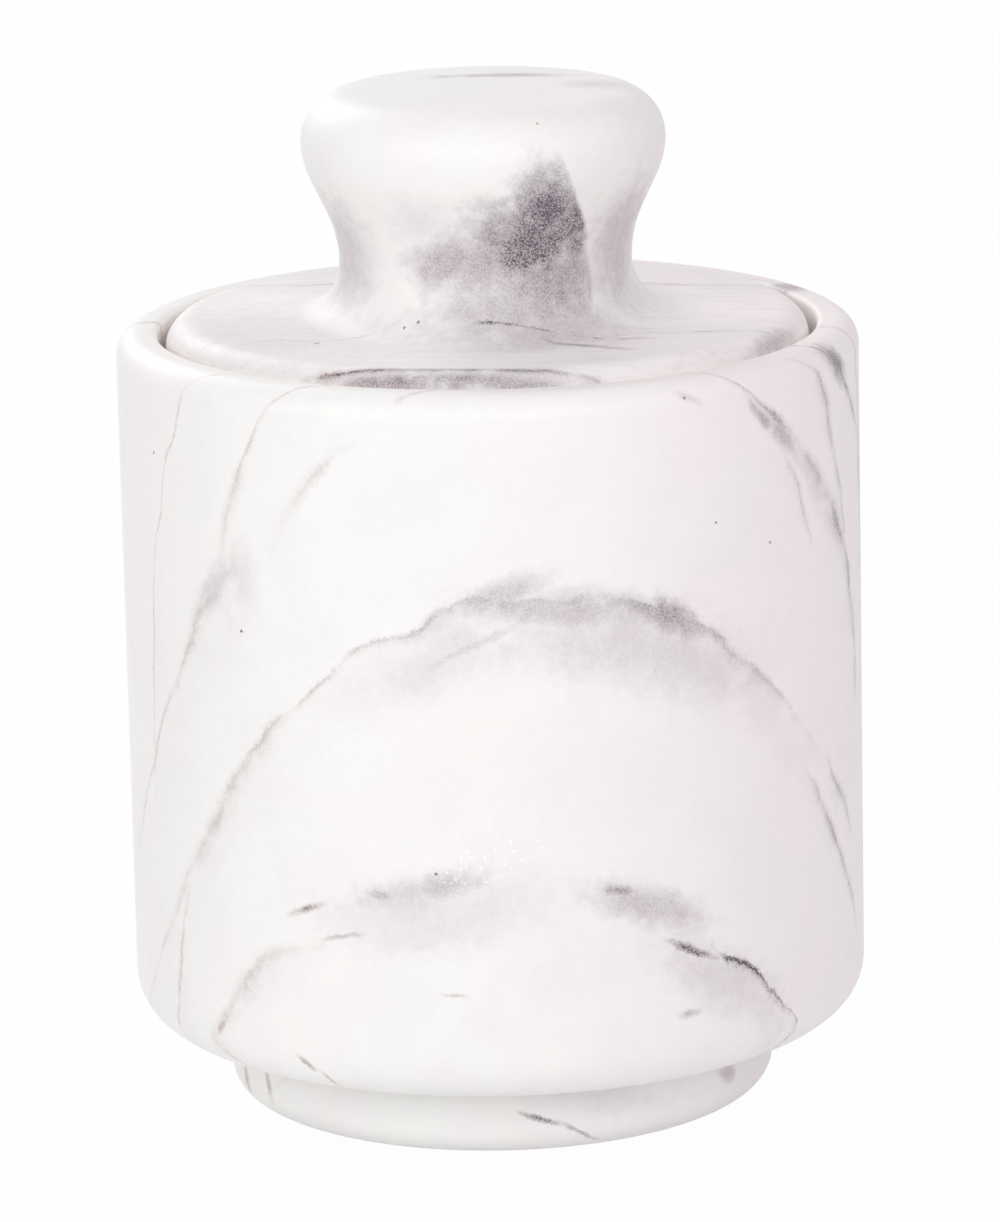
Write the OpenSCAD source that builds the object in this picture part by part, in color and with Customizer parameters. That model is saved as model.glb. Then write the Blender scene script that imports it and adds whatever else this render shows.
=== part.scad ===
// Lidded salt cellar turned from two blocks of marble: a jar on a stepped foot, and a lid with a waisted knob

/* [Jar] */
// Outside diameter of the jar's wall
jar_d = 90; // [80:1:120]
// Height of the jar from the underside of its foot to the top of its rim
jar_h = 95.5; // [75:0.5:140]
// Thickness of the wall round the seat, at the rim
rim_wall = 5; // [4:0.25:8]
// Rounding of the rim's outer edge
rim_round = 3; // [1:0.25:4]
// Rounding of the rim's inner edge
lip_round = 0.8; // [0.4:0.1:1.2]
// Rounding of the wall's lower edge
base_round = 6; // [2:0.5:9]

/* [Foot] */
// How far the foot steps in from the wall
foot_step = 11.5; // [6:0.5:15]
// Height of the foot below the wall
foot_h = 9.8; // [5:0.2:13]
// Rounding of the foot's lower edge
foot_round = 3.5; // [0.5:0.25:4.5]
// Hollow rounding where the foot meets the underside of the wall
root_round = 0.8; // [0.4:0.1:1.5]

/* [Well and seat] */
// Depth of the seat below the top of the rim
seat_depth = 7.6; // [4:0.2:12]
// Width of the ledge that carries the lid
ledge_w = 4; // [3:0.25:7]
// Thickness of stone between the well and the underside of the foot
floor_t = 15; // [13:0.5:25]
// Rounding where the well's wall meets its floor
well_round = 7; // [2:0.5:12]

/* [Lid] */
// Clearance between the lid and the seat, on each side
lid_gap = 1; // [0.5:0.1:2]
// Thickness of the lid's disc
lid_t = 9; // [7:0.25:14]
// Rounding of the disc's upper edge
lid_round = 3.5; // [1:0.25:5]
// Small rounding of hidden sharp edges, on the ledge and under the disc
arris = 0.6; // [0.3:0.1:1]

/* [Knob] */
// Height of the knob above the disc
knob_h = 27.6; // [22:0.2:40]
// Diameter of the knob's waist
waist_d = 35.4; // [24:0.2:38]
// How far the knob's head overhangs its waist
head_overhang = 4.3; // [2:0.1:7]
// Radius of the hollow that runs from the disc up to the waist
skirt_r = 6.5; // [3:0.25:8]
// Radius of the hollow between the waist and the head
waist_r = 15; // [8:0.5:20]
// Radius of the head's lower swell
swell_r = 10; // [5:0.5:14]
// Radius of the head's upper shoulder
shoulder_r = 6; // [3:0.25:8]
// Rise of the head's crown above its shoulder
crown_h = 0.4; // [0.2:0.1:1.5]

/* [Pads] */
// Diameter of each pad under the foot
pad_d = 10; // [6:0.5:14]
// Thickness of each pad
pad_h = 1; // [0.6:0.1:2]
// How far each pad's edge lies in from the foot's rounding
pad_inset = 2; // [1:0.5:6]

/* [Hidden] */

stone_colour = [0.94, 0.925, 0.92];
pad_colour = [0.55, 0.55, 0.54];

// Steps of the round stretches in an outline, and sides of a full turn
arc_step = 7.5;
$fn = 64;

// Radii of the jar, which follow from its wall inwards
jar_r = jar_d / 2;
foot_r = jar_r - foot_step;
seat_r = jar_r - rim_wall;
well_r = seat_r - ledge_w;
lid_r = seat_r - lid_gap;
waist_radius = waist_d / 2;
head_r = waist_radius + head_overhang;

// Heights, which follow from the pads upwards
foot_z = pad_h;
wall_z = foot_z + foot_h;
floor_z = foot_z + floor_t;
rim_z = foot_z + jar_h;
seat_z = rim_z - seat_depth;
disc_z = seat_z + lid_t;
waist_z = disc_z + skirt_r;
top_z = disc_z + knob_h;
head_z = top_z - crown_h - shoulder_r;

// No rounding is larger than the wall or the step that it lies on
rim_limit_share = 0.7;
lip_limit_share = 0.25;
rim_edge_r = min(rim_round, rim_wall * rim_limit_share);
lip_edge_r = min(lip_round, rim_wall * lip_limit_share);
base_edge_r = min(base_round, foot_step - root_round);
foot_edge_r = min(foot_round, foot_h - root_round);

// The hollow above the waist and the swell below the head are joined by a straight flank that touches both.
// Both radii shrink alike where the knob is too low for them.
neck_rise = head_z - waist_z;
curve_limit = (pow(head_overhang, 2) + pow(neck_rise, 2)) / (2 * head_overhang);
curve_share = min(1, curve_limit / (waist_r + swell_r));
hollow_r = waist_r * curve_share;
bulge_r = swell_r * curve_share;
centre_run = hollow_r + bulge_r - head_overhang;
centre_gap = sqrt(pow(centre_run, 2) + pow(neck_rise, 2));
flank_a = atan2(neck_rise, centre_run) - acos(min(1, (hollow_r + bulge_r) / centre_gap));

// The crown is a shallow dome on the axis that touches the shoulder's arc
shoulder_c = head_r - shoulder_r;
crown_r = (pow(shoulder_c, 2) + pow(shoulder_r + crown_h, 2) - pow(shoulder_r, 2)) / (2 * crown_h);
crown_a = atan2(head_z - top_z + crown_r, shoulder_c);

// Each pad's centre lies on a circle inside the flat of the foot, a quarter turn apart
pad_ring_r = foot_r - foot_edge_r - pad_inset - pad_d / 2;

// Points of an arc about the centre c, from angle a0 to angle a1
function arc(c, r, a0, a1) =
    let (n = ceil(abs(a1 - a0) / arc_step))
    [for (i = [0:n]) let (a = a0 + (a1 - a0) * i / n) c + r * [cos(a), sin(a)]];

// Half of the jar's cross-section, from the axis under the foot round to the axis in the well
jar_outline = concat(
    [[0, foot_z]],
    arc([foot_r - foot_edge_r, foot_z + foot_edge_r], foot_edge_r, -90, 0),
    arc([foot_r + root_round, wall_z - root_round], root_round, 180, 90),
    arc([jar_r - base_edge_r, wall_z + base_edge_r], base_edge_r, -90, 0),
    arc([jar_r - rim_edge_r, rim_z - rim_edge_r], rim_edge_r, 0, 90),
    arc([seat_r + lip_edge_r, rim_z - lip_edge_r], lip_edge_r, 90, 180),
    [[seat_r, seat_z]],
    arc([well_r + arris, seat_z - arris], arris, 90, 180),
    arc([well_r - well_round, floor_z + well_round], well_round, 0, -90),
    [[0, floor_z]]
);

// Half of the lid's cross-section, from the axis under the disc round to the axis on the crown
lid_outline = concat(
    [[0, seat_z]],
    arc([lid_r - arris, seat_z + arris], arris, -90, 0),
    arc([lid_r - lid_round, disc_z - lid_round], lid_round, 0, 90),
    arc([waist_radius + skirt_r, waist_z], skirt_r, 270, 180),
    arc([waist_radius + hollow_r, waist_z], hollow_r, 180, 180 - flank_a),
    arc([head_r - bulge_r, head_z], bulge_r, -flank_a, 0),
    arc([shoulder_c, head_z], shoulder_r, 0, crown_a),
    arc([0, top_z - crown_r], crown_r, crown_a, 90)
);

module turned(outline) {
    rotate_extrude() polygon(outline);
}

module pad(side, end) {
    color(pad_colour)
    translate([side, end, 0] * pad_ring_r / sqrt(2))
    cylinder(h = pad_h, d = pad_d);
}

module jar() {
    color(stone_colour) turned(jar_outline);
}

module lid() {
    color(stone_colour) turned(lid_outline);
}

module pad_front_left() pad(-1, -1);
module pad_front_right() pad(1, -1);
module pad_rear_left() pad(-1, 1);
module pad_rear_right() pad(1, 1);

jar();
lid();
pad_front_left();
pad_front_right();
pad_rear_left();
pad_rear_right();
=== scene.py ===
"""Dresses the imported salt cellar, a marble jar with its lid and pads, on a plain stage."""

import functools
import math
from collections import namedtuple

import bmesh
import bpy
import numpy as np
from mathutils import Matrix, Vector


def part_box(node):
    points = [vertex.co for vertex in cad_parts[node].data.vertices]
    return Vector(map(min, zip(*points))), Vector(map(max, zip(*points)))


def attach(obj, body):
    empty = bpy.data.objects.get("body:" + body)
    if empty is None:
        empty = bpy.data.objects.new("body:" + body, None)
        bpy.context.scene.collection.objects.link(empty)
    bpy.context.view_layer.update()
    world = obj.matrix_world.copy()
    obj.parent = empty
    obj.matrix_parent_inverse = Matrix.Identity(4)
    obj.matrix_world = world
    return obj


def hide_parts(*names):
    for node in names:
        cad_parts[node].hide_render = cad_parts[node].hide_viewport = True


bl_info = {
    "name": "Marble salt cellar",
    "version": (1, 0, 0),
    "blender": (4, 5, 0),
    "location": "3D View > Sidebar > Salt Cellar",
    "description": "Turns a lidded marble salt cellar, veins its stone and sets a plain stage round it",
    "category": "Object",
}

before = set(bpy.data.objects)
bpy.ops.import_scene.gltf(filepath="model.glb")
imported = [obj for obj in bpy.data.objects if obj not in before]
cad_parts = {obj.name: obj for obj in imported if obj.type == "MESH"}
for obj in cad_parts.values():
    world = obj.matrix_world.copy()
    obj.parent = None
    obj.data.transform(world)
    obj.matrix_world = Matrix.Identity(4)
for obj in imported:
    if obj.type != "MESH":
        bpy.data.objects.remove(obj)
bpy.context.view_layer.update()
MM = 0.001
PADS = ("pad_front_left", "pad_front_right", "pad_rear_left", "pad_rear_right")
JAR_LOW, JAR_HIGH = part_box("jar")
LID_LOW, LID_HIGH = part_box("lid")


def linear(level):
    """One channel of a screen colour, 0 to 255, as the linear value that a material reads."""
    return ((level / 255 + 0.055) / 1.055) ** 2.4 if level > 10 else level / 255 / 12.92


def srgb(*levels):
    """A screen colour as the linear colour that a material reads."""
    return tuple(linear(level) for level in levels)


def length_of(name, about, value):
    """A length in metres that a user can change."""
    return bpy.props.FloatProperty(name=name, description=about, default=value, min=0, unit="LENGTH")


def colour_of(name, about, *levels):
    """A colour that a user can change."""
    return bpy.props.FloatVectorProperty(
        name=name, description=about, default=srgb(*levels), subtype="COLOR", min=0, max=1,
    )


def number_of(name, about, value):
    """A plain number that a user can change."""
    return bpy.props.FloatProperty(name=name, description=about, default=value, min=0)


def angle_of(name, about, degrees):
    """An angle that a user can change."""
    return bpy.props.FloatProperty(
        name=name, description=about, default=math.radians(degrees), subtype="ANGLE",
    )


class JarSizes(bpy.types.PropertyGroup):
    """Sizes of the jar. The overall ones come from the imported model."""

    wall_radius: length_of("Wall radius", "Outside radius of the wall", JAR_HIGH.x)
    foot_height: length_of("Foot underside", "Height of the foot's underside above the table", JAR_LOW.z)
    rim_height: length_of("Rim height", "Height of the rim above the table", JAR_HIGH.z)
    rim_wall: length_of("Rim wall", "Thickness of the wall round the seat", 5 * MM)
    rim_round: length_of("Rim rounding", "Radius of the rim's outer edge", 3 * MM)
    lip_round: length_of("Lip rounding", "Radius of the rim's inner edge", 0.8 * MM)
    base_round: length_of("Base rounding", "Radius of the wall's lower edge", 6 * MM)
    foot_step: length_of("Foot step", "How far the foot steps in from the wall", 11.5 * MM)
    foot_rise: length_of("Foot rise", "Height of the foot below the wall", 9.8 * MM)
    foot_round: length_of("Foot rounding", "Radius of the foot's lower edge", 3.5 * MM)
    root_round: length_of("Root rounding", "Radius where the foot meets the wall's underside", 0.8 * MM)
    seat_depth: length_of("Seat depth", "Depth of the seat below the rim", 7.6 * MM)
    ledge_width: length_of("Ledge width", "Width of the ledge that carries the lid", 4 * MM)
    floor_thickness: length_of("Floor thickness", "Stone between the well and the underside", 15 * MM)
    well_round: length_of("Well rounding", "Radius where the well's wall meets its floor", 7 * MM)
    arris: length_of("Arris", "Radius of small hidden edges", 0.6 * MM)


class LidSizes(bpy.types.PropertyGroup):
    """Sizes of the lid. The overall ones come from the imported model."""

    disc_radius: length_of("Disc radius", "Radius of the lid's disc", LID_HIGH.x)
    seat_height: length_of("Seat height", "Height of the disc's underside above the table", LID_LOW.z)
    top_height: length_of("Top height", "Height of the knob's crown above the table", LID_HIGH.z)
    disc_thickness: length_of("Disc thickness", "Thickness of the disc", 9 * MM)
    disc_round: length_of("Disc rounding", "Radius of the disc's upper edge", 3.5 * MM)
    arris: length_of("Arris", "Radius of the disc's lower edge", 0.6 * MM)
    waist_radius: length_of("Waist radius", "Radius of the knob's waist", 17.7 * MM)
    overhang: length_of("Overhang", "How far the knob's head overhangs its waist", 4.3 * MM)
    skirt_round: length_of("Skirt rounding", "Radius of the hollow from the disc up to the waist", 6.5 * MM)
    waist_round: length_of("Waist rounding", "Radius of the hollow between waist and head", 15 * MM)
    swell_round: length_of("Swell rounding", "Radius of the head's lower swell", 10 * MM)
    shoulder_round: length_of("Shoulder rounding", "Radius of the head's upper shoulder", 6 * MM)
    crown_rise: length_of("Crown rise", "Rise of the crown above the shoulder", 0.4 * MM)


class StoneLook(bpy.types.PropertyGroup):
    """Colours and surface of the marble and the pads."""

    white: colour_of("White", "Clear stone", 247, 246, 244)
    # Partly the stone's own rose tint, partly painted shade: the pinkish tint of the shaded right side
    rose: colour_of("Rose", "Clear stone with a trace of rose", 249, 238, 240)
    # Painted light: this pale colour goes in the gap round the lid, where it stands in for the light that
    # shines through the stone into the gap
    gap_light: colour_of("Raw stone", "Paler stone, as it was cut, in the gap round the lid", 254, 249, 246)
    haze: colour_of("Haze", "Cloudy stone beside the veins", 231, 223, 227)
    vein: colour_of("Vein", "Grey of the veins", 132, 121, 130)
    rust: colour_of("Brown vein", "Pinkish brown of the veins", 158, 128, 122)
    dark: colour_of("Dark vein", "Darkest grains", 92, 85, 94)
    pad: colour_of("Pad", "Clear rubber of the pads", 196, 195, 192)
    pad_shade: colour_of("Pad shade", "Darker specks in the rubber of the pads", 149, 149, 147)
    grain: length_of("Grain", "Size of the stone's crystals", 0.24 * MM)
    gloss: number_of("Roughness", "Roughness of the satin polish", 0.44)


class StageLook(bpy.types.PropertyGroup):
    """Camera, lamps and floor."""

    elevation: angle_of("Elevation", "Height of the view above the horizon", 13.603)
    roll: angle_of("Roll", "Turn of the picture about its middle", 1.228)
    distance: length_of("Distance", "Distance of the camera", 831.1 * MM)
    aim_across: length_of("Aim across", "Sideways place that the camera aims at", 0.832 * MM)
    aim_height: length_of("Aim height", "Height that the camera aims at", 60.307 * MM)
    lens: number_of("Lens", "Focal length in millimetres for a 36 mm picture", 199.84)
    left: number_of("Left lamp", "Power of the lamp at the front left, in watts", 3.6)
    front: number_of("Front lamp", "Power of the lamp in front, in watts", 4.25)
    top: number_of("Top lamp", "Power of the lamp above, in watts", 1.6)
    rear: number_of("Rear lamp", "Power of the lamp at the left rear, in watts", 4.4)
    sky: number_of("Surroundings", "Strength of the even light from all round", 0.52)
    floor: colour_of("Floor", "Colour of the floor", 252, 252, 252)


class Outline:
    """Half of a turned piece's cross-section: edges in the plane y = 0, to be spun about the z axis."""

    # Longest edge and widest step of an arc in the outline, and steps of the full turn
    LONGEST = 2.5 * MM
    WIDEST = math.radians(6)
    SIDES = 240
    # Points this near to each other become one, and edges this short are dissolved
    NEAR = 0.001 * MM
    SHORT = 0.0005 * MM

    def __init__(self, x, z):
        self.mesh = bmesh.new()
        self.tip = bmesh.ops.create_vert(self.mesh, co=(x, 0, z))["vert"][0]

    def line(self, x, z):
        """Straight on to a point, in equal steps."""
        way = Vector((x, 0, z)) - self.tip.co
        steps = max(1, math.ceil(way.length / self.LONGEST))
        for _ in range(steps):
            self.tip = bmesh.ops.extrude_vert_indiv(self.mesh, verts=[self.tip])["verts"][0]
            bmesh.ops.translate(self.mesh, verts=[self.tip], vec=way / steps)

    def arc(self, x, z, radius, start, end):
        """Straight on to where an arc about a centre starts, then along it. Angles are in degrees."""
        first, turn = math.radians(start), math.radians(end - start)
        self.line(x + radius * math.cos(first), z + radius * math.sin(first))
        steps = max(math.ceil(abs(turn) / self.WIDEST), math.ceil(abs(turn) * radius / self.LONGEST))
        spun = bmesh.ops.spin(
            self.mesh, geom=[self.tip], cent=(x, 0, z), axis=(0, -1, 0), angle=turn, steps=steps,
        )
        self.tip = [part for part in spun["geom_last"] if isinstance(part, bmesh.types.BMVert)][0]

    def turned(self, name):
        """The finished piece, as a closed object that stands where its outline was drawn."""
        whole = self.mesh.verts[:] + self.mesh.edges[:]
        bmesh.ops.spin(
            self.mesh, geom=whole, axis=(0, 0, 1), angle=math.tau, steps=self.SIDES, use_merge=True,
        )
        bmesh.ops.remove_doubles(self.mesh, verts=self.mesh.verts[:], dist=self.NEAR)
        bmesh.ops.dissolve_degenerate(self.mesh, edges=self.mesh.edges[:], dist=self.SHORT)
        bmesh.ops.recalc_face_normals(self.mesh, faces=self.mesh.faces[:])
        for face in self.mesh.faces:
            face.smooth = True
        return placed(self.mesh, name)


def placed(mesh, name):
    """A bmesh as an object of its own in the scene."""
    data = bpy.data.meshes.new(name)
    mesh.to_mesh(data)
    mesh.free()
    piece = bpy.data.objects.new(name, data)
    bpy.context.scene.collection.objects.link(piece)
    return piece


class Link:
    """A socket that takes part in sums: each operator adds the Math node that works it out."""

    def __init__(self, finish, socket):
        self.finish = finish
        self.socket = socket

    def of(self, name):
        """Another output of the same node."""
        return Link(self.finish, self.socket.node.outputs[name])

    def math(self, operation, *others):
        """Math on this socket and others, which come after it."""
        values = dict(enumerate((self, *others)))
        return self.finish.node("ShaderNodeMath", {"operation": operation}, values)

    def reflected(self, operation, other):
        """The same with the other value first."""
        return self.finish.node("ShaderNodeMath", {"operation": operation}, {0: other, 1: self})

    def __add__(self, other):
        return self.math("ADD", other)

    def __sub__(self, other):
        return self.math("SUBTRACT", other)

    def __rsub__(self, other):
        return self.reflected("SUBTRACT", other)

    def __mul__(self, other):
        return self.math("MULTIPLY", other)

    def __truediv__(self, other):
        return self.math("DIVIDE", other)

    def __rtruediv__(self, other):
        return self.reflected("DIVIDE", other)

    def __abs__(self):
        return self.math("ABSOLUTE")

    __radd__ = __add__
    __rmul__ = __mul__

    def above(self, low, high, top=1):
        """Goes smoothly from 0 at low to top at high, which may also be the lower number."""
        values = {"Value": self, "From Min": low, "From Max": high, "To Max": top}
        return self.finish.node("ShaderNodeMapRange", {"interpolation_type": "SMOOTHSTEP"}, values)


class Finish:
    """The node tree of a material or of the world."""

    # How deep a bump goes at full strength
    UNEVEN = 0.05 * MM

    def __init__(self, owner):
        self.owner = owner
        owner.use_nodes = True
        self.tree = owner.node_tree
        self.tree.nodes.clear()

    def node(self, kind, settings=None, values=None, out=0):
        """Adds a node: its settings first, then the values or links of its sockets, by name or number."""
        made = self.tree.nodes.new(kind)
        for name, value in (settings or {}).items():
            if name == "stops":
                self.set_stops(made.color_ramp.elements, value)
            else:
                setattr(made, name, value)
        for key, value in (values or {}).items():
            if isinstance(value, Link):
                self.tree.links.new(value.socket, made.inputs[key])
            else:
                made.inputs[key].default_value = value
        return Link(self, made.outputs[out]) if made.outputs else made

    @staticmethod
    def set_stops(elements, stops):
        while len(elements) < len(stops):
            elements.new(1.0)
        for element, (place, colour) in zip(elements, stops):
            element.position = place
            element.color = (*colour, 1)

    def vector(self, operation, first, second=None, out=0):
        """Vector Math on one or two vectors."""
        values = {0: first} if second is None else {0: first, 1: second}
        return self.node("ShaderNodeVectorMath", {"operation": operation}, values, out)

    def noise(self, place, size, detail=2.0, roughness=0.5, out="Fac"):
        """Cloudy noise whose lumps are about size across, in the units of place."""
        values = {"Vector": place, "Scale": 1 / size, "Detail": detail, "Roughness": roughness}
        return self.node("ShaderNodeTexNoise", None, values, out)

    def scaled(self, vector, factor):
        """A vector made longer or shorter by one factor."""
        return self.node("ShaderNodeVectorMath", {"operation": "SCALE"}, {0: vector, "Scale": factor})

    def bump(self, height, strength):
        """Fine unevenness of the surface, from a height between 0 and 1."""
        values = {"Strength": strength, "Distance": self.UNEVEN, "Height": height}
        return self.node("ShaderNodeBump", None, values)

    def mix(self, share, first, second):
        """Share of the second colour over the first."""
        first, second = (c if isinstance(c, Link) else (*c, 1) for c in (first, second))
        # The sockets and the output for colours have these numbers
        return self.node("ShaderNodeMix", {"data_type": "RGBA"}, {0: share, 6: first, 7: second}, 2)


# Lengths in the veins are in millimetres, and turns are in degrees from the front, positive to the right.

# A sheet is a vein's surface inside the stone. Its form gives how far each of its points lies in front of
# the axis, as a sum of the powers below. marks run along x or z: place, darkness, half of the thickness,
# haze. across holds the sheet's limits in the other direction, soft how much wider its front side fades,
# and reach how far the haze goes in front of it.
Sheet = namedtuple("Sheet", "form along across soft reach marks")

# A fleck is a spot or a cloud of its own: its turn, its distance from the axis and its height, its tilt,
# half of its size along, into and across the stone, its darkness, its haze, and its twist, which is how far
# it is turned about the vertical beyond that.
Fleck = namedtuple("Fleck", "turn out z tilt long deep high dark haze twist", defaults=(0,))

# Radius of the wall and height of the rim
WALL = JAR_HIGH.x / MM
RIM = JAR_HIGH.z / MM
# Height from which the powers in a form are counted
MIDDLE = 50
# How strongly each number of a form is held near 0 where the places of a vein leave it open
HOLD = (0, 0.09, 0.09, 0.36, 0.36, 0.36, 2.25, 2.25, 2.25)


def powers(x, h):
    """What the numbers of a form are multiplied by, at x to the right and h above the middle."""
    square, cube = WALL, WALL ** 2
    return np.array((
        np.ones_like(x), x, h, x * x / square, x * h / square, h * h / square,
        x ** 3 / cube, h ** 3 / cube, x * h * h / cube,
    ))


def through(*places):
    """Form of a calm sheet that meets the stone's outside along a line of places.

    A place has its turn and its height, and on the rim also how far inside the wall's radius it lies.
    """
    turn, z, inset = np.array([(*place, 0)[:3] for place in places]).T
    turn = np.radians(turn)
    steps = np.hypot(np.hypot(np.diff(turn) * WALL, np.diff(z)), np.diff(inset))
    along = np.append(0, np.cumsum(steps))
    # One place for each millimetre of the line
    every = np.linspace(0, along[-1], round(along[-1]) + 1)
    turn, z, radius = (np.interp(every, along, values) for values in (turn, z, WALL - inset))
    terms = powers(radius * np.sin(turn), z - MIDDLE)
    held = terms @ terms.T + np.diag(HOLD) * len(every)
    return np.linalg.solve(held, terms @ (radius * np.cos(turn))).tolist()


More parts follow.
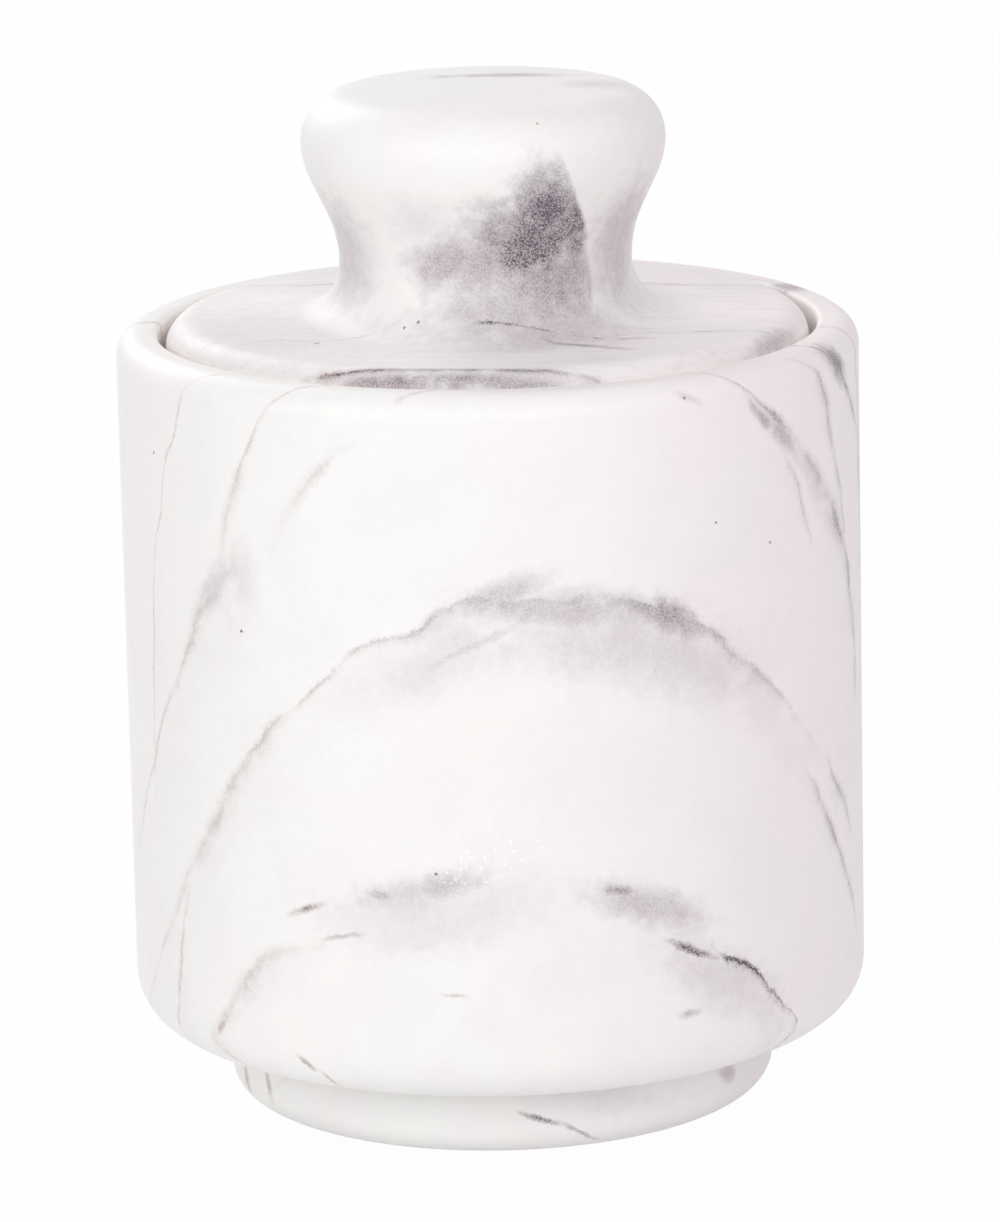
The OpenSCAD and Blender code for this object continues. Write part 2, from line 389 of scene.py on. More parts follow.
JAR_SHEETS = (
    # Outer left line, over the rim and down the wall
    Sheet(through(
        (-46.5, 96.5, 4), (-48, 96.5, 3), (-48, 96.5, 0.5), (-50, 95.5), (-53, 94), (-56.5, 90),
        (-58, 86.5), (-60.5, 78.5), (-63, 70), (-64.5, 66.5), (-65, 59.5),
    ), "z", (-46, -29), 1, 3, (
        (40, 0, 0.2, 0), (58, 0.3, 0.16, 0.1), (68, 0.34, 0.16, 0.1), (76, 0.26, 0.16, 0),
        (97, 0.36, 0.14, 0),
    )),
    # Second left, over the rim and down to the middle
    Sheet(through(
        (-25.5, 96.5, 5.5), (-30, 96.5, 3), (-31.5, 96.5), (-34, 95), (-38.5, 90.5), (-40, 88.5),
        (-41.5, 85), (-43.5, 79.5),
    ), "z", (-34, -14), 1.5, 3, (
        (70, 0, 0.6, 0), (79, 0.18, 0.6, 0.1), (84, 0.24, 0.6, 0.1), (88, 0.36, 0.3, 0.1),
        (92, 0.38, 0.22, 0.1), (97, 0.36, 0.14, 0),
    )),
    # The same vein from the middle down to the lower left edge
    Sheet(through(
        (-44.5, 75), (-47.5, 70), (-50.5, 66), (-55, 62), (-63.5, 51.5), (-67, 47), (-70.5, 41),
        (-76.5, 34), (-80, 30),
    ), "z", (-46, -29), 1.5, 5, (
        (22, 0, 0.3, 0), (34, 0.18, 0.16, 0), (42, 0.28, 0.18, 0), (60, 0.34, 0.2, 0.2),
        (66, 0.32, 0.4, 0.4), (70, 0.28, 0.7, 0.6), (75, 0.2, 0.7, 0.5), (80, 0, 0.5, 0),
    )),
    # Faint streak right of the second left
    Sheet(through((-21.5, 91.5), (-26, 87), (-31, 82.5)), "x", (78, 93), 1, 2, (
        (-27, 0, 0.4, 0), (-22, 0.16, 0.35, 0), (-19, 0.22, 0.3, 0), (-15, 0, 0.2, 0),
    )),
    # Great arch across the middle
    Sheet(through(
        (-40.5, 51.5), (-37, 55.5), (-29, 60), (-23, 64.5), (-16, 68), (-11, 70), (-2, 72.5), (4, 72.5),
        (9.5, 72.5), (21.5, 71), (29.5, 68), (41.5, 62.5), (47, 58.5), (49, 56.5),
    ), "x", (48, 77), 2.2, 5.5, (
        (-32, 0, 0.2, 0), (-28, 0.36, 0.25, 0.1), (-25, 0.26, 0.16, 0.1), (-20, 0.3, 0.14, 0.2),
        (-14, 0.32, 0.14, 0.4), (-8, 0.34, 0.18, 0.6), (-3, 0.34, 0.35, 0.8), (6, 0.3, 0.55, 1),
        (14, 0.34, 0.6, 1), (19.5, 0.5, 0.6, 1), (25, 0.42, 0.4, 0.9), (30, 0.36, 0.3, 0.7),
        (35, 0.26, 0.22, 0.5), (39, 0, 0.2, 0.1),
    )),
    # Left leg of the arch, and a second line beside it
    Sheet(through(
        (-37, 54), (-44.5, 47), (-50.5, 40), (-58, 31.5), (-65.5, 24.5), (-68.5, 20), (-69.5, 17.5),
    ), "z", (-45, -24), 1.5, 3, (
        (14, 0.1, 0.25, 0), (26, 0.2, 0.25, 0.1), (36, 0.22, 0.4, 0.3), (42, 0.28, 0.5, 0.4),
        (49, 0.26, 0.25, 0.2), (56, 0, 0.3, 0),
    )),
    Sheet(through((-55, 34), (-57.5, 29.5), (-58.5, 24), (-59.5, 21), (-60, 17)), "z", (-42, -34), 1, 3, (
        (10, 0.1, 0.2, 0), (17, 0.36, 0.25, 0.3), (21, 0.44, 0.3, 0.3), (28, 0.3, 0.25, 0.1),
        (36, 0, 0.2, 0),
    )),
    # Left leg of the lower arch
    Sheet(through(
        (-23.5, 31), (-31.5, 28.5), (-36.5, 27), (-40.5, 23.5), (-45, 21), (-49.5, 16),
    ), "x", (12, 34), 1.5, 2, (
        (-38, 0, 0.3, 0), (-34, 0.22, 0.3, 0.1), (-30, 0.26, 0.3, 0.2), (-25, 0.12, 0.3, 0.1),
        (-17, 0, 0.2, 0),
    )),
    # Dark line at the lower right
    Sheet(through(
        (21.5, 33), (24, 32), (30, 29.5), (33, 28), (38, 26), (45, 21.5), (48.5, 19), (52, 15),
    ), "x", (10, 36), 2.5, 3.5, (
        (14, 0, 0.1, 0.2), (24.7, 0, 0.1, 0.6), (26.2, 0.85, 0.13, 0.8), (28, 0.95, 0.16, 0.9),
        (32, 0.85, 0.14, 0.9), (35, 0.8, 0.12, 0.5), (40, 0, 0.1, 0),
    )),
    # Right, over the rim and down the wall, with a branch inside it
    Sheet(through(
        (36.5, 96.5, 4.5), (37.5, 96.5, 3), (39, 96.5), (44, 93.5), (47, 89.5), (53, 85.5), (56, 84.5),
        (60, 81), (66, 76), (72, 70.5), (72.5, 63), (75, 60), (75.5, 54),
    ), "z", (22, 46), 1.5, 3, (
        (50, 0, 0.4, 0), (54, 0.4, 0.5, 0), (62, 0.46, 0.55, 0.1), (70, 0.5, 0.6, 0.3), (76, 0.5, 0.9, 0.5),
        (81, 0.34, 0.9, 0.6), (86, 0.4, 0.8, 0.6), (90, 0.5, 0.5, 0.5), (93, 0.4, 0.3, 0.2),
        (97, 0.28, 0.2, 0.1),
    )),
    Sheet(through((50, 86.5), (50.5, 84.5), (55, 78), (56, 75.5)), "z", (32, 40), 1, 2, (
        (72, 0, 0.2, 0), (77, 0.22, 0.4, 0.1), (83, 0.28, 0.4, 0.2), (87, 0.15, 0.3, 0.1), (90, 0, 0.2, 0),
    )),
    # Outer right, over the rim, and the line between the two
    Sheet(through(
        (62.5, 96.5, 4.5), (64, 96.5, 2.5), (62.5, 96.5, 0.5), (63.5, 96), (67, 94), (72.5, 90.5), (79, 84),
    ), "z", (33, 46), 1, 3, (
        (78, 0, 0.4, 0), (84, 0.4, 0.7, 0.3), (90, 0.6, 0.9, 0.5), (95, 0.7, 0.6, 0.5), (97, 0.6, 0.3, 0.2),
    )),
    Sheet(through((57.5, 96), (59.5, 94.5), (63, 89.5), (66.5, 82.5), (69, 76)), "z", (36, 46), 1, 2, (
        (68, 0, 0.4, 0), (74, 0.3, 0.5, 0.2), (82, 0.32, 0.5, 0.2), (90, 0.4, 0.6, 0.4),
        (94, 0.4, 0.4, 0.3), (97, 0.25, 0.2, 0.1),
    )),
    # Two lines at the lower right edge
    Sheet(through((58, 43.5), (63, 38), (66.5, 34.5), (71.5, 28), (73, 25.5)), "z", (36, 46), 1, 3, (
        (20, 0, 0.3, 0), (25, 0.3, 0.4, 0.1), (30, 0.45, 0.5, 0.3), (36, 0.5, 0.6, 0.4),
        (42, 0.35, 0.5, 0.4), (47, 0, 0.3, 0),
    )),
    Sheet(through((65, 44), (66.5, 41.5), (69.5, 39)), "z", (39, 46), 1, 3, (
        (34, 0, 0.3, 0), (39, 0.4, 0.5, 0.4), (44, 0.4, 0.5, 0.4), (48, 0, 0.3, 0),
    )),
    # Far side
    Sheet((-14, 0.25, 0.2, 0.1, -0.1, 0.06), "z", (-50, 50), 2, 4, (
        (0, 0.1, 0.3, 0), (30, 0.5, 0.4, 0.5), (55, 0.25, 0.3, 0.3), (75, 0.55, 0.5, 0.7),
        (97, 0.35, 0.3, 0.1),
    )),
    Sheet((-27, -0.15, -0.25, 0.25, 0.12, -0.1), "x", (0, 99), 2, 6, (
        (-40, 0.3, 0.3, 0.1), (-20, 0.55, 0.5, 0.8), (-5, 0.25, 0.3, 0.4), (12, 0.7, 0.5, 0.9),
        (40, 0.3, 0.3, 0.1),
    )),
    Sheet((-33, 0.45, -0.3, 0.25, 0.15, -0.05), "x", (0, 99), 2, 4, (
        (-40, 0.2, 0.3, 0), (-28, 0.45, 0.4, 0.4), (-18, 0.2, 0.3, 0.1), (-8, 0.5, 0.5, 0.6),
        (5, 0.25, 0.3, 0.2),
    )),
)
JAR_FLECKS = (
    # Top of the great arch: brown branch, mottled fill, dark spot, and a thin branch beneath
    Fleck(2, 45, 73.2, 21, 7, 3, 2.4, 0.36, 0.6), Fleck(12, 45, 70.8, -4, 13, 4, 3, 0.34, 0.9),
    Fleck(27.5, 45, 68.7, -31, 4.8, 4, 2.4, 0.74, 0.6), Fleck(5.5, 45, 70.9, 23, 3, 3, 1.4, 0.38, 0.3),
    Fleck(-2.5, 45, 67.4, 27, 10, 2, 0.8, 0.26, 0.3),
    # Clouds inside the arch
    Fleck(18.5, 45, 66.3, -14, 22, 9, 6, 0.14, 0.9), Fleck(26.5, 45, 65, -22, 15, 9, 6.5, 0.14, 0.8),
    Fleck(-8.5, 45, 65, 25, 12, 6, 4, 0.08, 0.8),
    # Where the second left vein spreads, and dark stretches of the right veins
    Fleck(-47, 45, 71.5, 60, 5.4, 4, 2.2, 0.26, 0.6), Fleck(67.5, 45, 93.9, -40, 4.6, 4, 2.2, 0.8, 0.5),
    Fleck(45, 45, 91, -47, 3.6, 3, 0.9, 0.6, 0.4), Fleck(50, 45, 87.6, -47, 5.4, 3, 1.3, 0.5, 0.5),
    # Left half of the lower arch
    Fleck(-30, 45, 34, 20, 2.7, 2, 0.6, 0.75, 0.2), Fleck(-24.5, 45, 31, 12, 3, 1.5, 0.4, 0.5, 0.1),
    Fleck(-18, 45, 36.5, -7, 2.2, 2, 0.9, 0.5, 0.3), Fleck(-8.5, 45, 38.1, 13, 6.6, 3, 2.2, 0.38, 0.8),
    Fleck(-14, 45, 36.8, 10, 9, 4, 2.4, 0.24, 0.8), Fleck(-10, 45, 34.6, 8, 17, 6, 5.5, 0.08, 0.9),
    # Right half of the lower arch
    Fleck(18, 45, 36.5, -8, 2.8, 2, 1, 0.7, 0.4), Fleck(22.5, 45, 34.2, -20, 10, 4, 3, 0.36, 0.9),
    Fleck(28.5, 45, 32.4, -10, 1.6, 1.5, 1, 0.4, 0.2), Fleck(30.5, 45, 28, -26, 4.6, 2, 0.7, 0.95, 0.5),
    Fleck(36, 45, 23.6, -31, 13, 8, 4.6, 0.13, 0.9),
    # Lone flecks beneath it
    Fleck(-7, 45, 24.8, -7, 2, 1.5, 0.3, 0.4, 0), Fleck(29.5, 45, 20.2, -4, 1.9, 1.5, 0.6, 0.45, 0.1),
    # Along the lower edge
    Fleck(-31.5, 44.7, 14.9, -43, 1.9, 2, 0.5, 0.7, 0.1), Fleck(-28, 43.5, 12.8, -50, 2.6, 3, 0.4, 0.5, 0),
    Fleck(-48, 45, 17.1, 47, 1.8, 1.5, 0.5, 0.6, 0),
    # Foot: veins and spots, and, right of the front, a grey haze along its top, partly the vein's haze and
    # partly painted shade under the overhanging wall
    Fleck(7.5, 33.5, 5.6, -22, 3, 1.5, 0.45, 0.85, 0.4), Fleck(16, 33.3, 3.4, -32, 3.5, 2, 0.35, 0.65, 0.2),
    Fleck(21, 33.2, 8, -10, 11, 4, 3, 0.08, 0.5), Fleck(-58.5, 33.5, 5.8, -70, 2.4, 2, 0.7, 0.55, 0.3),
    Fleck(-70, 33.4, 4.8, -70, 2, 2, 0.9, 0.55, 0.3), Fleck(54, 33.3, 7, -30, 2.6, 2, 1.5, 0.45, 0.3),
    # Rim: a thin line and a brown one in front, a dark smear at the rear
    Fleck(-10, 41.4, 96.2, 0, 4.3, 0.5, 3, 0.3, 0, 41), Fleck(31.5, 44.7, 94.4, -25, 2.6, 1.5, 0.5, 0.3, 0),
    Fleck(115, 41.2, 96.5, 0, 3.6, 2.5, 2, 0.6, 0.4),
)
# Black pin-points: turn, distance from the axis, height
JAR_DOTS = (
    (-9.5, 45, 39.7), (35.5, 45, 79.4), (47, 45, 75.5),
    (-41.5, 45, 66.6), (-62, 45, 85.4), (30.5, 44.8, 94.6),
)
# Painted glints: white dots that stand in for the sparkle of crystal faces, and the zone that they are
# scattered over
JAR_GLINT_ZONE = Fleck(-1.5, 45, 42, 10, 9, 3, 4.5, 1, 0)

LID_SHEETS = (
    # Line round the foot of the knob, at the right, and the lines right and left of it on the disc
    Sheet((19.0, 0.01, 0, 0.02), "x", (90, 102), 1.5, 2, (
        (-3, 0, 0.2, 0), (0, 0.65, 0.3, 0.3), (5, 0.6, 0.3, 0.4), (11, 0.7, 0.35, 0.5),
        (16, 0.9, 0.4, 0.5), (21, 0, 0.3, 0.1),
    )),
    Sheet((16.6, -0.01), "x", (90, 99), 1, 3, (
        (-30, 0.3, 0.5, 0.2), (-22, 0.4, 0.4, 0.3), (-12, 0.2, 0.4, 0.3), (-6, 0, 0.3, 0),
        (16, 0.1, 0.5, 0.1), (24, 0.4, 0.5, 0.3), (33, 0.35, 0.5, 0.3),
    )),
    # Dark line along the front edge of the disc, and the mottled band in front of it on the rounded edge:
    # partly a vein, partly painted shade where the edge turns down towards the gap
    Sheet((36.0, 0.09, 0, -0.2), "x", (95.5, 99), 1.5, 9, (
        (-31, 0, 0.3, 0), (-26, 0.6, 0.35, 0.4), (-20, 0.7, 0.5, 0.9), (-8, 0.7, 0.7, 1),
        (4, 0.6, 0.6, 0.9), (10, 0.5, 0.5, 0.6), (16, 0.2, 0.3, 0.3), (24, 0, 0.3, 0),
    )),
    Sheet((37.8, 0.09, 0, -0.2), "x", (95.5, 99), 1.5, 2, (
        (-27, 0, 1, 0), (-20, 0.4, 1.4, 0.9), (-10, 0.6, 1.7, 1), (2, 0.5, 1.6, 0.9),
        (9, 0.3, 1.2, 0.6), (14, 0, 1, 0),
    )),
    # Far side
    Sheet((-20, 0.1, 0.05, 0.1), "x", (90, 99), 2, 5, (
        (-30, 0.2, 0.4, 0.2), (-12, 0.5, 0.5, 0.5), (5, 0.25, 0.4, 0.2), (15, 0.55, 0.6, 0.5),
        (32, 0.2, 0.4, 0.1),
    )),
)
# The grey patch on the knob, which a joint in the stone cuts off sharply at its right
KNOB_PATCH = (
    Fleck(22, 20.4, 113.2, 0, 6, 7, 7.5, 0.95, 1), Fleck(33, 20, 110.5, -79, 11, 6, 3.4, 0.9, 0.8),
    Fleck(16.5, 18.4, 109.2, 0, 10, 7, 7.5, 0.9, 1), Fleck(26.5, 17.9, 104.4, 0, 9, 7, 8, 0.64, 1),
    Fleck(1.5, 17.8, 107, 0, 9.5, 6, 6.5, 0.52, 1), Fleck(12, 17.2, 101.5, 0, 14, 6, 7, 0.42, 1),
)
LID_FLECKS = (
    # Outliers of the patch, and darker haze on both sides of the knob round its waist: partly the stone's
    # brownish tint, partly painted shade under the overhanging head
    Fleck(-15, 17.9, 107, 20, 6, 4, 4, 0.54, 0.9), Fleck(-22.5, 19.7, 112, 0, 6, 4, 5, 0.08, 0.4),
    Fleck(60.5, 18.4, 108, 0, 7, 6, 11, 0.35, 0.9), Fleck(-67, 17.9, 107, 0, 7, 6, 10, 0.26, 0.8),
    # Line on the skirt, haze there and on the left of the disc, the right edge of the disc, and the crown
    Fleck(23.5, 24.6, 98.6, -8, 9, 1.1, 2, 0.75, 0.5, -50),
    Fleck(22.5, 21.1, 99.2, 0, 14, 6, 3.6, 0.38, 0.9),
    Fleck(-61.5, 29.5, 97.5, 0, 24, 17, 5, 0.14, 0.8), Fleck(63.5, 38.4, 96.4, 0, 8, 2, 1.6, 0.5, 0.5),
    Fleck(161.5, 7.8, 125.4, 0, 10, 2.2, 1, 0.5, 0.5, -162), Fleck(91, 14.2, 125.2, 0, 4, 5, 1, 0.2, 0.4),
)
LID_DOTS = ((-25, 19.4, 100), (-47.5, 27.3, 97.9), (-29, 20.3, 99.2), (19, 19.9, 123.6))
# Half size of a pin-point along and into the stone, and its darkness
DOT_SIZE, DOT_DEPTH, DOT_DARK = 0.22, 0.6, 0.9
MARKS = {"jar": (JAR_SHEETS, JAR_FLECKS, JAR_DOTS), "lid": (LID_SHEETS, LID_FLECKS, LID_DOTS)}


class Stone:
    """The veined body of a marble, as measures of darkness and haze at each point of the stone."""

    # Every vein wavers by noise of two sizes, and its edges crumble by noise of about the grain's size. Each
    # has its size, the last one in grains, and how far it moves the vein.
    WAVES = ((8.0, 1.6), (1.2, 0.35))
    CRUMBLE = (1.6, 0.35)
    # Where a colour ramp of marks starts and how far it goes, for marks along x and along z
    SPANS = {"x": (-45, 90), "z": (0, 130)}
    # A vein has a soft band and a darker core: how many half thicknesses each is wide, and its darkness
    BAND, BAND_DARK = 2, 0.55
    CORE, CORE_DARK = 0.7, 0.6
    # How far beyond its limits a sheet fades out
    FADE = 2.5
    # A fleck fades out at this many times its own size
    SPREAD = 1.5
    # The joint that ends the knob's patch, at one height: its place at the right, its lean and its bend
    JOINT_HEIGHT, JOINT_PLACE, JOINT_LEAN, JOINT_BEND = 100, 12.6, 0.02, 0.0062
    # The painted light round the gap: its middle outside the disc, and how far it is full and fades out
    GAP_MIDDLE, GAP_FULL, GAP_END = 0.25, 1, 1.75
    # How far below the rim it starts and is full, and is full still and ends
    GAP_TOP, GAP_FULL_TOP, GAP_FULL_LOW, GAP_LOW = 0, 1, 11, 16

    def __init__(self, finish, grain):
        self.finish = finish
        self.place = finish.scaled(finish.node("ShaderNodeTexCoord", out="Object"), 1 / MM)
        bent = self.place
        grains, crumbled = self.CRUMBLE
        for size, reach in (*self.WAVES, (grain * grains, crumbled)):
            cloud = finish.noise(self.place, size, 1, out="Color")
            wave = finish.vector("SUBTRACT", cloud, (0.5, 0.5, 0.5))
            bent = finish.vector("ADD", bent, finish.scaled(wave, reach))
        self.bent = bent
        x = finish.node("ShaderNodeSeparateXYZ", None, {0: bent})
        self.axes = {"x": x, "z": x.of("Z")}
        h = self.axes["z"] - MIDDLE
        xx, hh = x * x, h * h
        self.squares = finish.node("ShaderNodeCombineXYZ", None, {0: xx, 1: x * h, 2: hh})
        self.cubes = finish.node("ShaderNodeCombineXYZ", None, {0: xx * x, 1: hh * h, 2: x * hh})
        self.along = {way: (self.axes[way] - low) / span for way, (low, span) in self.SPANS.items()}
        # Veins are wider and flecks reach further here and there, and veins fade in patches
        ragged = finish.noise(self.place, 2.0, 3, 0.65)
        self.widen = ragged * 1.6 + 1.2
        self.fray = ragged.above(0.3, 0.7, 0.2) - 0.1
        self.patchy = finish.noise(self.place, 5.5, 3, 0.6).above(0.32, 0.62)

    def sheet(self, sheet):
        """Darkness and haze of one vein, as x and y of a vector."""
        finish = self.finish
        level, a, b, *bends = [*sheet.form] + [0] * (len(HOLD) - len(sheet.form))
        squares, cubes = [bend / WALL for bend in bends[:3]], [bend / WALL ** 2 for bend in bends[3:]]
        behind = finish.vector("DOT_PRODUCT", self.bent, (a, 1, b), out=1) + (level - MIDDLE * b)
        behind += finish.vector("DOT_PRODUCT", self.squares, squares, out=1)
        if any(cubes):
            behind += finish.vector("DOT_PRODUCT", self.cubes, cubes, out=1)
        low, span = self.SPANS[sheet.along]
        # A ramp's blue holds at most 1, so it takes half of the thickness
        stops = [((place - low) / span, (dark, haze, half / 2)) for place, dark, half, haze in sheet.marks]
        ramp = finish.node("ShaderNodeValToRGB", {"stops": stops}, {0: self.along[sheet.along]})
        mark = finish.node("ShaderNodeSeparateColor", None, {0: ramp})
        off = behind.math("MAXIMUM", behind * (-1 / sheet.soft)) / (mark.of("Blue") * self.widen)
        profile = off.above(self.BAND, 0, self.BAND_DARK) + off.above(self.CORE, 0, self.CORE_DARK)
        # The haze starts close to the sheet and thins out in front of it
        front = behind.above(0.4, -0.6) * behind.above(-sheet.reach, -0.2 * sheet.reach)
        low, high = sheet.across
        middle, half = (low + high) / 2, (high - low) / 2
        other = self.axes["z" if sheet.along == "x" else "x"]
        inside = abs(other - middle).above(half + self.FADE, half)
        values = {0: profile * mark, 1: front * mark.of("Green")}
        return finish.scaled(finish.node("ShaderNodeCombineXYZ", None, values), inside)

    def fleck(self, fleck, frayed=True):
        """Darkness and haze of one spot or cloud, as x and y of a vector. A pin-point isn't frayed."""
        turn = math.radians(fleck.turn)
        middle = (fleck.out * math.sin(turn), -fleck.out * math.cos(turn), fleck.z)
        lie = (0, math.radians(-fleck.tilt), turn + math.radians(fleck.twist))
        size = [self.SPREAD * half for half in (fleck.long, fleck.deep, fleck.high)]
        values = {"Vector": self.bent, "Location": middle, "Rotation": lie, "Scale": size}
        local = self.finish.node("ShaderNodeMapping", {"vector_type": "TEXTURE"}, values)
        ball = self.finish.node("ShaderNodeTexGradient", {"gradient_type": "SPHERICAL"}, {0: local}, "Fac")
        mask = (ball + self.fray).above(0.17, 0.95) if frayed else ball.above(0.3, 0.6)
        return self.finish.scaled((fleck.dark, fleck.haze, 0), mask)

    def deepest(self, marks):
        """The darkest and the haziest of several marks, which are made one after another."""
        return functools.reduce(lambda first, second: self.finish.vector("MAXIMUM", first, second), marks)

    def knob_patch(self):
        """The grey patch, up to the joint in the stone that ends it."""
        rise = self.axes["z"] - self.JOINT_HEIGHT
        edge = self.JOINT_PLACE - rise * self.JOINT_LEAN - rise * rise * self.JOINT_BEND
        joint = (edge - self.axes["x"]).above(-0.3, 0.5)
        return self.finish.scaled(self.deepest(self.fleck(fleck) for fleck in KNOB_PATCH), joint)

    def gap(self):
        """1 on the disc's side and on the seat's wall, which face each other round the lid: where the
        painted light of the gap goes.
        """
        flat = self.finish.vector("MULTIPLY", self.place, (1, 1, 0))
        off = abs(self.finish.vector("LENGTH", flat, out=1) - (LID_HIGH.x / MM + self.GAP_MIDDLE))
        top = self.axes["z"].above(RIM - self.GAP_TOP, RIM - self.GAP_FULL_TOP)
        low = self.axes["z"].above(RIM - self.GAP_LOW, RIM - self.GAP_FULL_LOW)
        return off.above(self.GAP_END, self.GAP_FULL) * (top * low)

    def clouds(self, size, low, high):
        """Soft clouds of about one size: 0 up to the lower level of their noise, and 1 from the higher."""
        return self.finish.noise(self.place, size, 2).above(low, high)


def marble(name, look, piece):
    """White marble with grey veins, sugary grain and black pin-points, for the jar or the lid."""
    finish = Finish(bpy.data.materials.new(name))
    grain = look.grain / MM
    stone = Stone(finish, grain)
    sheets, flecks, dots = MARKS[piece]
    is_jar = piece == "jar"
    veins = stone.deepest(stone.sheet(sheet) for sheet in sheets)
    veins = finish.scaled(veins, stone.patchy * 0.9 + 0.3)
    spots = stone.deepest(stone.fleck(fleck) for fleck in flecks)
    marks = finish.vector("MAXIMUM", veins, spots)
    if not is_jar:
        marks = finish.vector("MAXIMUM", marks, stone.knob_patch())
    dark = finish.node("ShaderNodeSeparateXYZ", None, {0: marks})
    haze = dark.of("Y")
    # The crystals, and clumps of them, break up every mark
    speck = finish.noise(stone.place, grain, 1, 0.6).above(0.32, 0.68)
    clump = finish.noise(stone.place, grain * 5, 2, 0.6)
    dark = dark * (0.7 + speck * 0.5) * (0.8 + clump * 0.4)
    haze = haze * (0.6 + stone.patchy * 0.4) * (0.5 + clump * 0.6 + speck * 0.2)
    if not is_jar:
        # Fine streaks across the disc
        squeezed = finish.node("ShaderNodeMapping", None, {"Vector": stone.place, "Scale": (0.09, 1, 0.9)})
        streaks = finish.noise(squeezed, 0.9, 3, 0.7).above(0.4, 0.75) * stone.axes["z"].above(101, 98)
        haze = haze.math("MAXIMUM", streaks * 0.8)
    # The stone turns rose towards its right, and less so near the foot: partly its own tint, partly the
    # pinkish tint of the shade on the right side, painted in as colour
    rose_and_shade_tint = stone.axes["x"].above(-10, 42) * (0.4 + stone.axes["z"].above(4, 45, 0.4))
    rose_and_shade_tint += stone.clouds(28, 0.45, 0.62) * 0.22
    tone = finish.mix(rose_and_shade_tint, look.white, look.rose)
    cloudy = clump.above(0.35, 0.75) * 0.08 + stone.clouds(9, 0.4, 0.65) * 0.1
    tone = finish.mix(cloudy + speck * 0.03, tone, look.haze)
    tone = finish.mix(haze * 0.9, tone, look.haze)
    # In the gap round the lid the colour is painted paler: painted light that stands in for light shining
    # through the stone into the gap. Only the veins show over it
    tone = finish.mix(stone.gap(), tone, look.gap_light)
    # The veins turn brown towards the stone's left
    rusty = stone.axes["x"].above(3, -32, 0.7) + stone.clouds(7, 0.45, 0.6) * 0.16
    stain = finish.mix(dark.above(0.65, 1.1), finish.mix(rusty, look.vein, look.rust), look.dark)
    tone = finish.mix(dark.math("MINIMUM", 1), tone, stain)
    if is_jar:
        # Painted glints: white dots in the colour, where crystal faces would sparkle
        zone = finish.node("ShaderNodeSeparateXYZ", None, {0: stone.fleck(JAR_GLINT_ZONE)})
        painted_glints = finish.noise(stone.place, 0.6, 0).above(0.68, 0.72)
        tone = finish.mix(zone * painted_glints, tone, (1, 1, 1))
    points = (Fleck(*dot, 0, DOT_SIZE, DOT_DEPTH, DOT_SIZE, DOT_DARK, 0) for dot in dots)
    black = stone.deepest(stone.fleck(point, frayed=False) for point in points)
    tone = finish.mix(finish.node("ShaderNodeSeparateXYZ", None, {0: black}), tone, look.dark)
    bump = finish.bump(clump, 0.12)
    shader = finish.node("ShaderNodeBsdfPrincipled", None, {
        "Base Color": tone, "Roughness": look.gloss + clump * 0.1, "IOR": 1.5, "Normal": bump,
    })
    finish.node("ShaderNodeOutputMaterial", None, {"Surface": shader})
    return finish.owner


def dress(piece, material, body, node):
    """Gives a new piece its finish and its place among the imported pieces."""
    piece.data.materials.append(material)
    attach(piece, body)
    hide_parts(node)


class SALT_OT_jar(bpy.types.Operator):
    """Turns the jar from one block of marble, with its foot, rim, seat and well"""

    bl_idname = "salt_cellar.jar"
    bl_label = "Turn the jar"

    def execute(self, context):
        s = context.scene.salt_jar
        foot, seat = s.wall_radius - s.foot_step, s.wall_radius - s.rim_wall
        well, ledge = seat - s.ledge_width, s.rim_height - s.seat_depth
        under, bottom = s.foot_height + s.foot_rise, s.foot_height + s.floor_thickness
        pen = Outline(0, s.foot_height)
        pen.arc(foot - s.foot_round, s.foot_height + s.foot_round, s.foot_round, -90, 0)
        pen.arc(foot + s.root_round, under - s.root_round, s.root_round, 180, 90)
        pen.arc(s.wall_radius - s.base_round, under + s.base_round, s.base_round, -90, 0)
        pen.arc(s.wall_radius - s.rim_round, s.rim_height - s.rim_round, s.rim_round, 0, 90)
        pen.arc(seat + s.lip_round, s.rim_height - s.lip_round, s.lip_round, 90, 180)
        pen.line(seat, ledge)
        pen.arc(well + s.arris, ledge - s.arris, s.arris, 90, 180)
        pen.arc(well - s.well_round, bottom + s.well_round, s.well_round, 0, -90)
        pen.line(0, bottom)
        piece = pen.turned("marble_jar")
        dress(piece, marble("jar_marble", context.scene.salt_stone, "jar"), "jar", "jar")
        return {"FINISHED"}


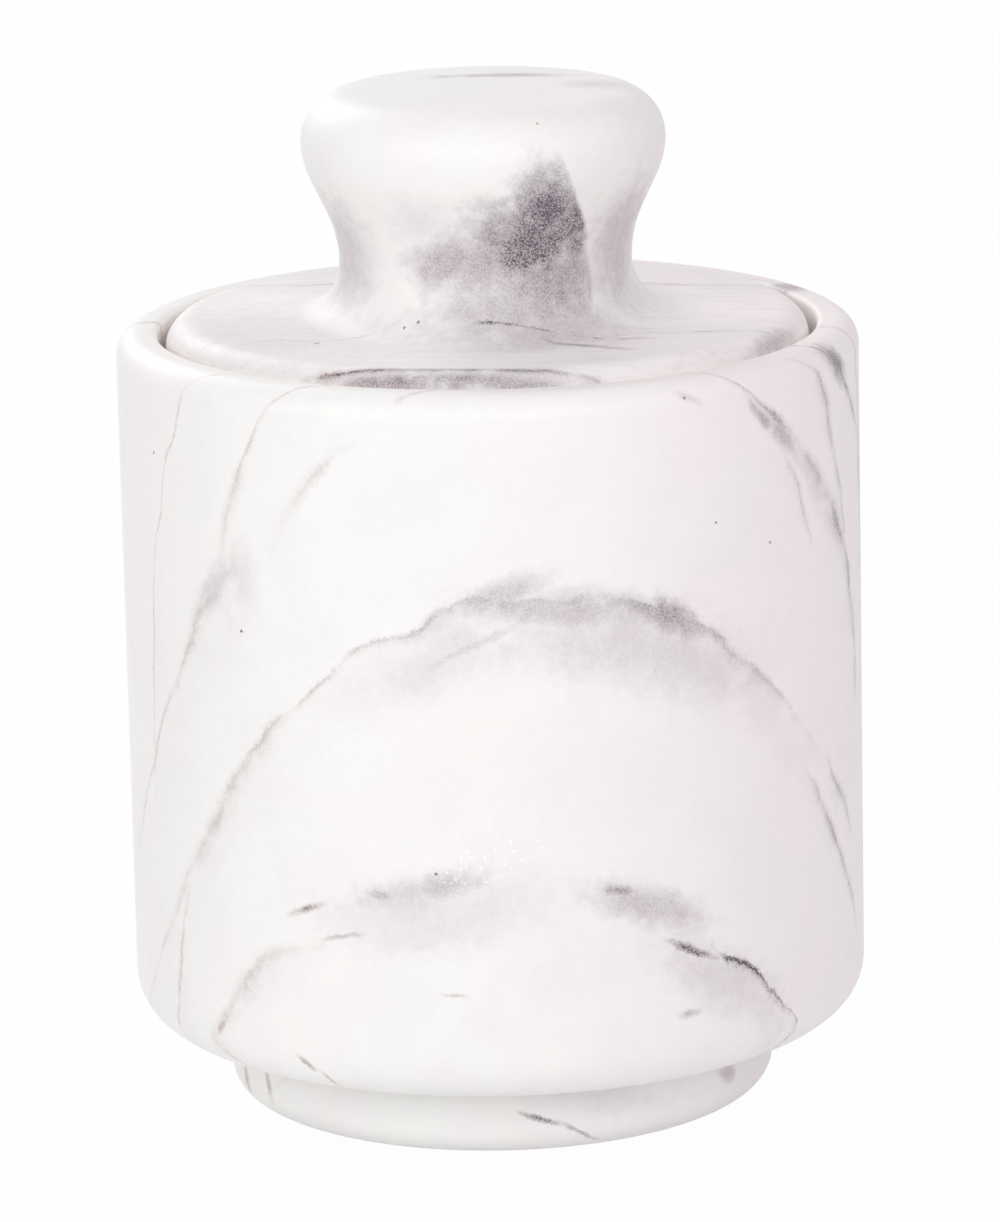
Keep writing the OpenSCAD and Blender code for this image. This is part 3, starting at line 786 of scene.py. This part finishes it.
class SALT_OT_lid(bpy.types.Operator):
    """Turns the lid from one block of marble: a thick disc with a waisted knob"""

    bl_idname = "salt_cellar.lid"
    bl_label = "Turn the lid"

    def execute(self, context):
        s = context.scene.salt_lid
        disc, head = s.seat_height + s.disc_thickness, s.waist_radius + s.overhang
        waist_z, head_z = disc + s.skirt_round, s.top_height - s.crown_rise - s.shoulder_round
        # A straight flank touches the hollow above the waist and the swell below the head
        run, rise = s.waist_round + s.swell_round - s.overhang, head_z - waist_z
        flank = math.atan2(rise, run) - math.acos((s.waist_round + s.swell_round) / math.hypot(run, rise))
        flank = math.degrees(flank)
        # The crown is a shallow dome that touches the shoulder
        inset = head - s.shoulder_round
        reach = s.shoulder_round + s.crown_rise
        crown = (inset ** 2 + reach ** 2 - s.shoulder_round ** 2) / (2 * s.crown_rise)
        crown_a = math.degrees(math.atan2(head_z - s.top_height + crown, inset))
        pen = Outline(0, s.seat_height)
        pen.arc(s.disc_radius - s.arris, s.seat_height + s.arris, s.arris, -90, 0)
        pen.arc(s.disc_radius - s.disc_round, disc - s.disc_round, s.disc_round, 0, 90)
        pen.arc(s.waist_radius + s.skirt_round, waist_z, s.skirt_round, 270, 180)
        pen.arc(s.waist_radius + s.waist_round, waist_z, s.waist_round, 180, 180 - flank)
        pen.arc(head - s.swell_round, head_z, s.swell_round, -flank, 0)
        pen.arc(inset, head_z, s.shoulder_round, 0, crown_a)
        pen.arc(0, s.top_height - crown, crown, crown_a, 90)
        piece = pen.turned("marble_lid")
        dress(piece, marble("lid_marble", context.scene.salt_stone, "lid"), "lid", "lid")
        return {"FINISHED"}


class SALT_OT_pads(bpy.types.Operator):
    """Gives the four pads under the foot their clear rubber"""

    bl_idname = "salt_cellar.pads"
    bl_label = "Finish the pads"

    def execute(self, context):
        look = context.scene.salt_stone
        finish = Finish(bpy.data.materials.new("pad_rubber"))
        place = finish.node("ShaderNodeTexCoord", out="Object")
        speckle = finish.noise(place, 0.4 * MM, 2)
        colour = finish.mix(speckle * 0.3, look.pad, look.pad_shade)
        bump = finish.bump(speckle, 0.2)
        shader = finish.node("ShaderNodeBsdfPrincipled", None, {
            "Base Color": colour, "Roughness": 0.6, "Normal": bump,
        })
        finish.node("ShaderNodeOutputMaterial", None, {"Surface": shader})
        for name in PADS:
            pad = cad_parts[name]
            pad.data.materials.clear()
            pad.data.materials.append(finish.owner)
        return {"FINISHED"}


class SALT_OT_stage(bpy.types.Operator):
    """Sets the floor, the lamps, the surroundings and the camera"""

    bl_idname = "salt_cellar.stage"
    bl_label = "Set the stage"

    # Where each lamp stands, the width of a lamp and the point that all of them face, in metres
    LAMPS = {
        "left": (-0.87, -0.87, 0.63),
        "front": (0.34, -1.17, 0.6),
        "top": (0, -0.05, 1.41),
        "rear": (-0.61, 1.06, 0.74),
    }
    LAMP_SIZE = 0.6
    LAMP_AIM = (0, 0, 0.06)
    FLOOR_RADIUS = 1.6
    FLOOR_SIDES = 96
    # How much of the floor's seen colour is plain white, so that only a trace of shadow shows
    FLOOR_WHITE = 0.97

    def execute(self, context):
        s = context.scene.salt_stage
        mesh = bmesh.new()
        bmesh.ops.create_circle(mesh, cap_ends=True, segments=self.FLOOR_SIDES, radius=self.FLOOR_RADIUS)
        floor = placed(mesh, "floor")
        floor.data.materials.append(self.floor_paint(s))
        self.surroundings(context.scene, s)
        for name, spot in self.LAMPS.items():
            self.lamp(context.scene, name + "_lamp", getattr(s, name), spot)
        self.camera(context.scene, s)
        return {"FINISHED"}

    @staticmethod
    def seen(finish):
        """1 for what the camera sees directly, in a reflection or through glass."""
        path = finish.node("ShaderNodeLightPath")
        direct = path.of("Is Camera Ray").math("MAXIMUM", path.of("Is Glossy Ray"))
        return direct.math("MAXIMUM", path.of("Is Transmission Ray"))

    def floor_paint(self, s):
        finish = Finish(bpy.data.materials.new("floor_paint"))
        matt = finish.node("ShaderNodeBsdfDiffuse", None, {"Color": (*s.floor, 1)})
        white = finish.node("ShaderNodeEmission", None, {"Color": (1, 1, 1, 1)})
        share = self.seen(finish) * self.FLOOR_WHITE
        mixed = finish.node("ShaderNodeMixShader", None, {0: share, 1: matt, 2: white})
        finish.node("ShaderNodeOutputMaterial", None, {"Surface": mixed})
        return finish.owner

    def surroundings(self, scene, s):
        finish = Finish(bpy.data.worlds.new("surroundings"))
        scene.world = finish.owner
        strength = s.sky + self.seen(finish) * (1 - s.sky)
        glow = finish.node("ShaderNodeBackground", None, {"Color": (1, 1, 1, 1), "Strength": strength})
        finish.node("ShaderNodeOutputWorld", None, {"Surface": glow})

    def lamp(self, scene, name, power, spot):
        data = bpy.data.lights.new(name, "AREA")
        data.energy = power
        data.size = self.LAMP_SIZE
        lamp = bpy.data.objects.new(name, data)
        lamp.location = spot
        lamp.rotation_euler = (Vector(spot) - Vector(self.LAMP_AIM)).to_track_quat("Z", "Y").to_euler()
        scene.collection.objects.link(lamp)

    @staticmethod
    def camera(scene, s):
        e, r = s.elevation, s.roll
        back = Vector((0, -math.cos(e), math.sin(e)))
        up = Vector((0, math.sin(e), math.cos(e)))
        right = Vector((1, 0, 0))
        across = right * math.cos(r) - up * math.sin(r)
        upright = right * math.sin(r) + up * math.cos(r)
        data = bpy.data.cameras.new("camera")
        data.lens = s.lens
        camera = bpy.data.objects.new("camera", data)
        turn = Matrix((across, upright, back)).transposed().to_4x4()
        spot = back * s.distance + Vector((s.aim_across, 0, s.aim_height))
        camera.matrix_world = Matrix.Translation(spot) @ turn
        scene.collection.objects.link(camera)
        scene.camera = camera
        scene.view_settings.view_transform = "Standard"


class SALT_PT_panel(bpy.types.Panel):
    """Lists the steps that make the salt cellar"""

    bl_idname = "SALT_PT_panel"
    bl_label = "Salt cellar"
    bl_space_type = "VIEW_3D"
    bl_region_type = "UI"
    bl_category = "Salt Cellar"

    def draw(self, context):
        for step in STEPS:
            self.layout.operator(step.bl_idname)
        for group in GROUPS:
            values = getattr(context.scene, group)
            for name in values.__annotations__:
                self.layout.prop(values, name)


STEPS = (SALT_OT_stage, SALT_OT_jar, SALT_OT_lid, SALT_OT_pads)
GROUPS = {"salt_jar": JarSizes, "salt_lid": LidSizes, "salt_stone": StoneLook, "salt_stage": StageLook}


def register():
    for kind in (*GROUPS.values(), *STEPS, SALT_PT_panel):
        bpy.utils.register_class(kind)
    for name, kind in GROUPS.items():
        setattr(bpy.types.Scene, name, bpy.props.PointerProperty(type=kind))


def unregister():
    for name in GROUPS:
        delattr(bpy.types.Scene, name)
    for kind in reversed((*GROUPS.values(), *STEPS, SALT_PT_panel)):
        bpy.utils.unregister_class(kind)


def main():
    register()
    bpy.ops.salt_cellar.stage()
    bpy.ops.salt_cellar.jar()
    bpy.ops.salt_cellar.lid()
    bpy.ops.salt_cellar.pads()


if __name__ == "__main__":
    main()
